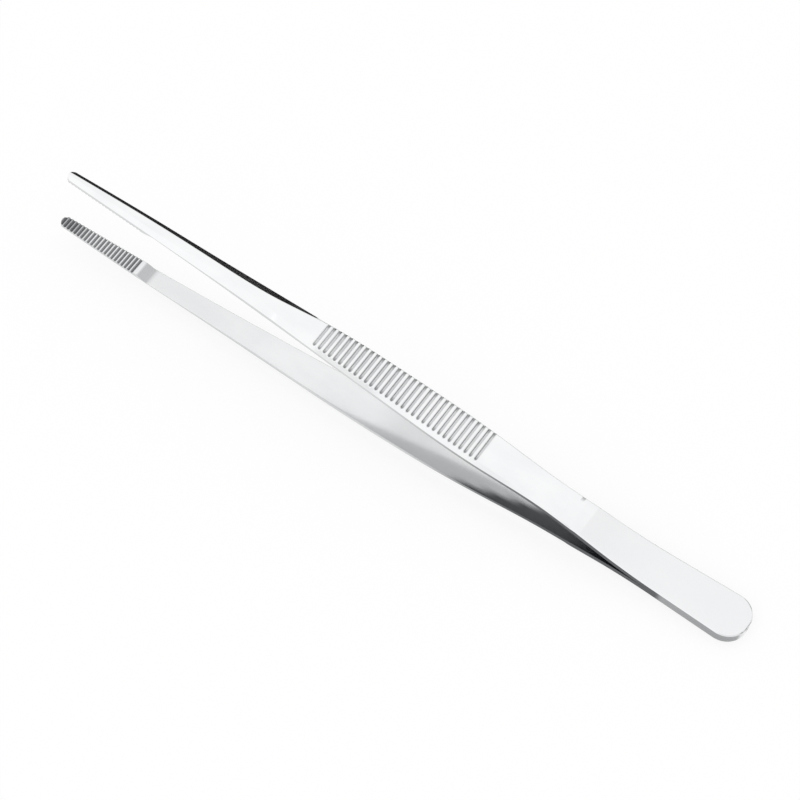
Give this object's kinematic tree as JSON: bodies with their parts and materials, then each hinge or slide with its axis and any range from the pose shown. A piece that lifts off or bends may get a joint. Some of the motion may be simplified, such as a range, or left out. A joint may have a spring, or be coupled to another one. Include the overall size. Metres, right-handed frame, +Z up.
{
  "type": "thumb forceps",
  "caption": "Long one-piece steel thumb forceps: two sprung arms welded at a rounded heel, with cross-grooved grips and toothed jaws standing open",
  "frame": {"origin": "middle of the space the forceps takes up, on the table it lies on", "axes": "+X from the jaws to the heel, +Y across the width, +Z up from the table; the forceps lies on the back of its lower arm"},
  "size_m": [0.2004, 0.0128, 0.0264],
  "materials": {
    "satin_steel": "satin ground stainless steel, brighter on the edges and bevels"
  },
  "bodies": {
    "root": {"upper_arm": "satin_steel", "lower_arm": "satin_steel"}
  },
  "joints": []
}
